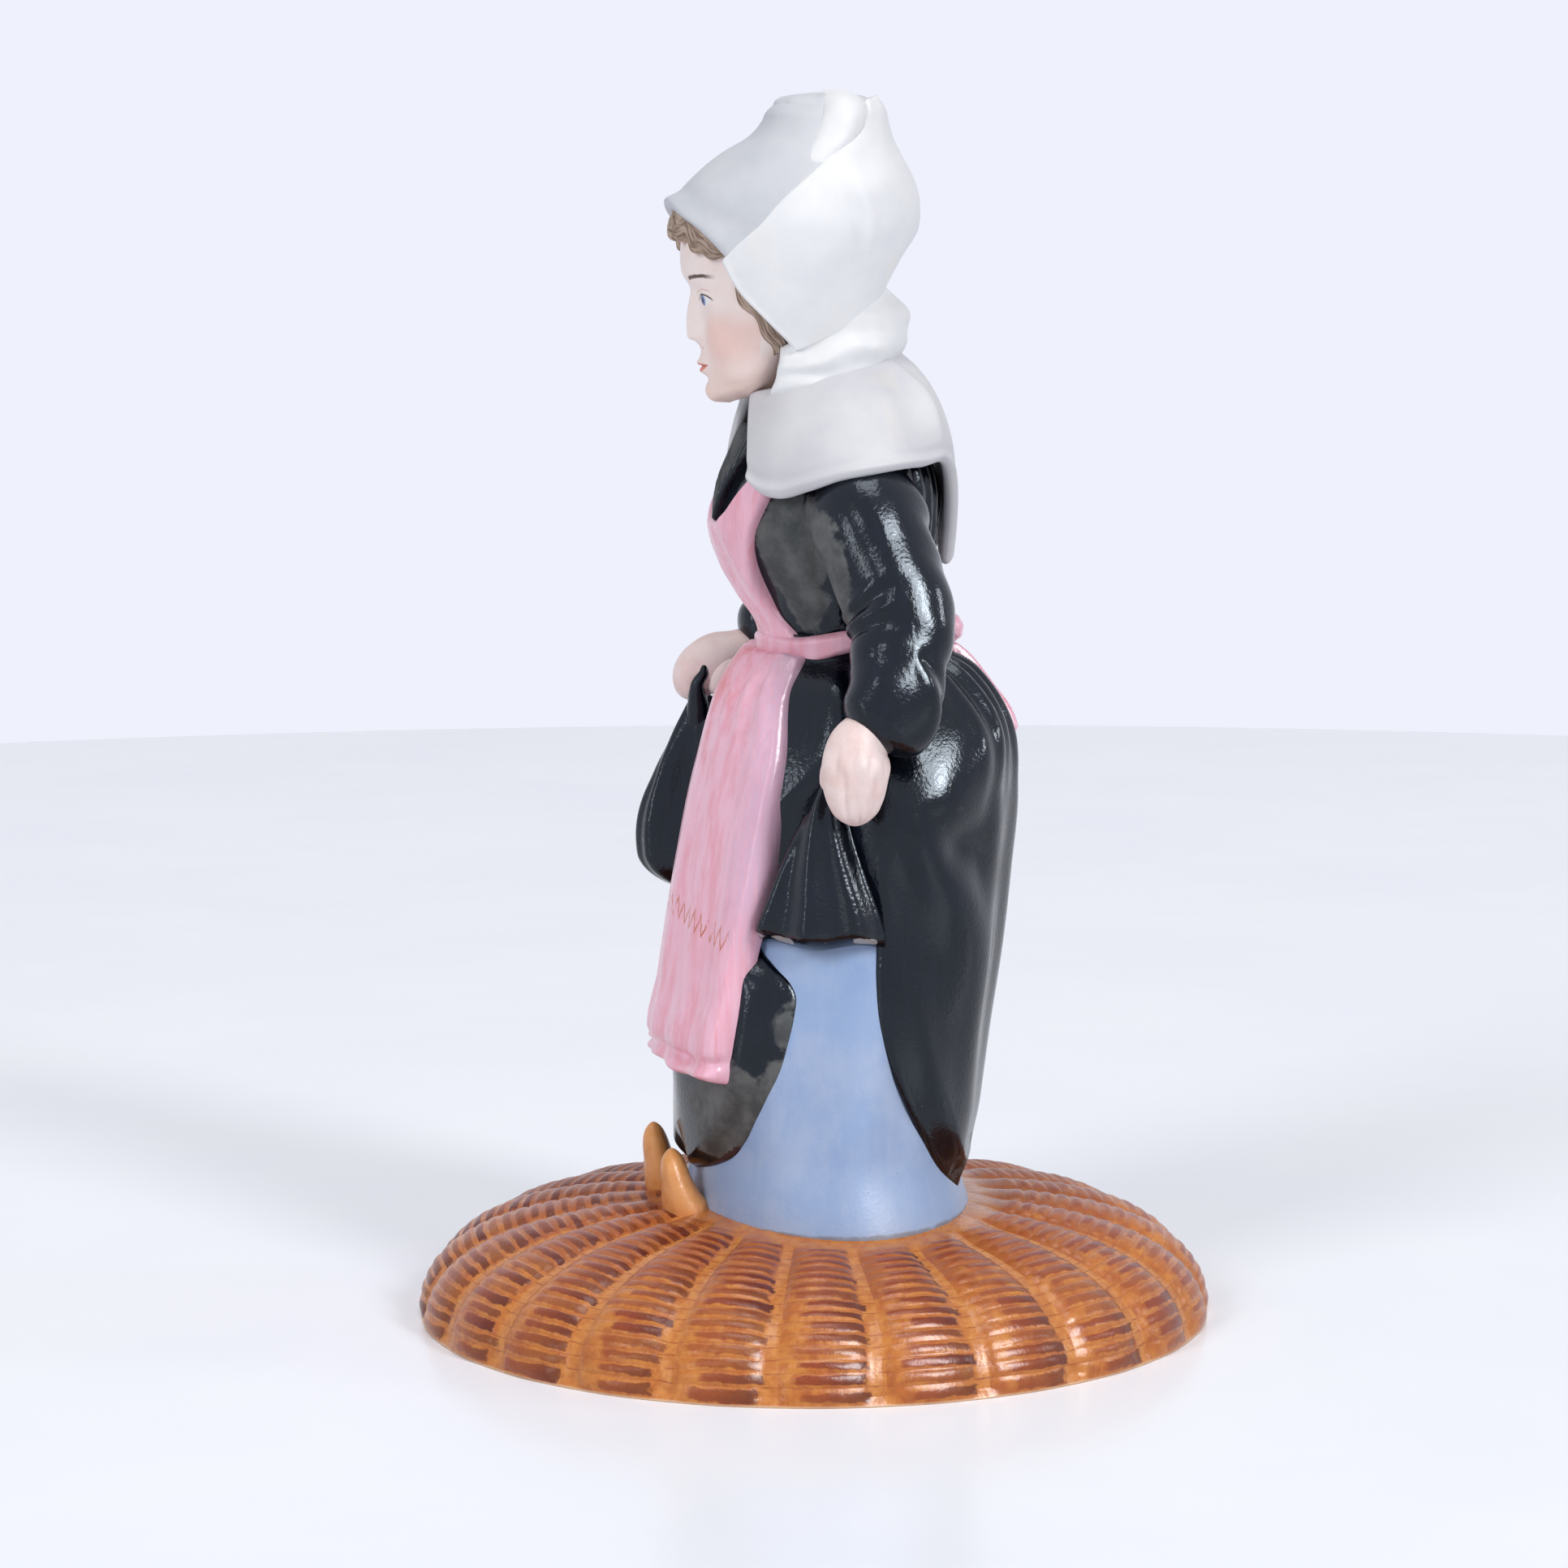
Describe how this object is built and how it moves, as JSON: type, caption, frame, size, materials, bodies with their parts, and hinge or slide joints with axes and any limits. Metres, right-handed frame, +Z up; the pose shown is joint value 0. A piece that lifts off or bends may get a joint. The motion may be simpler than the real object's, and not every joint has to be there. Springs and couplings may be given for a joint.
{
  "type": "ceramic figurine",
  "caption": "Painted ceramic figurine of a standing figure in work dress and white coif, lifting the skirt with both hands, on a wicker-pattern dome base.",
  "frame": {"origin": "on the ground, under the centre of the round base", "axes": "+Z up, the figure faces -Y, the figure's left is +X"},
  "size_m": [0.104, 0.104, 0.1601],
  "materials": {
    "wicker_glaze": "satin orange glaze with brown strokes on each strand",
    "blue_glaze": "satin light blue",
    "black_glaze": "glossy black, worn to matt grey in places",
    "pink_glaze": "satin pink with streaks",
    "flesh_bisque": "matt bisque with painted features",
    "hair_paint": "matt brown paint",
    "white_bisque": "matt white bisque",
    "grey_bisque": "matt grey-white bisque",
    "ochre_glaze": "satin ochre"
  },
  "bodies": {
    "root": {"base_dome": "wicker_glaze", "petticoat": "blue_glaze", "overskirt_front": "black_glaze", "overskirt_back": "black_glaze", "left_skirt_pleat": "black_glaze", "right_skirt_pleat": "black_glaze", "apron_skirt": "pink_glaze", "apron_bib": "pink_glaze", "waistband": "pink_glaze", "apron_bow_knot": "pink_glaze", "apron_left_tail": "pink_glaze", "apron_right_tail": "pink_glaze", "bodice": "black_glaze", "chest_lace": "black_glaze", "left_sleeve": "black_glaze", "right_sleeve": "black_glaze", "left_hand": "flesh_bisque", "right_hand": "flesh_bisque", "cape_collar": "white_bisque", "neck_scarf": "white_bisque", "head": "flesh_bisque", "hair": "hair_paint", "coif_crown": "white_bisque", "coif_band": "grey_bisque", "coif_left_flap": "white_bisque", "coif_right_flap": "white_bisque", "coif_roll": "white_bisque", "left_clog": "ochre_glaze", "right_clog": "ochre_glaze"}
  },
  "joints": []
}
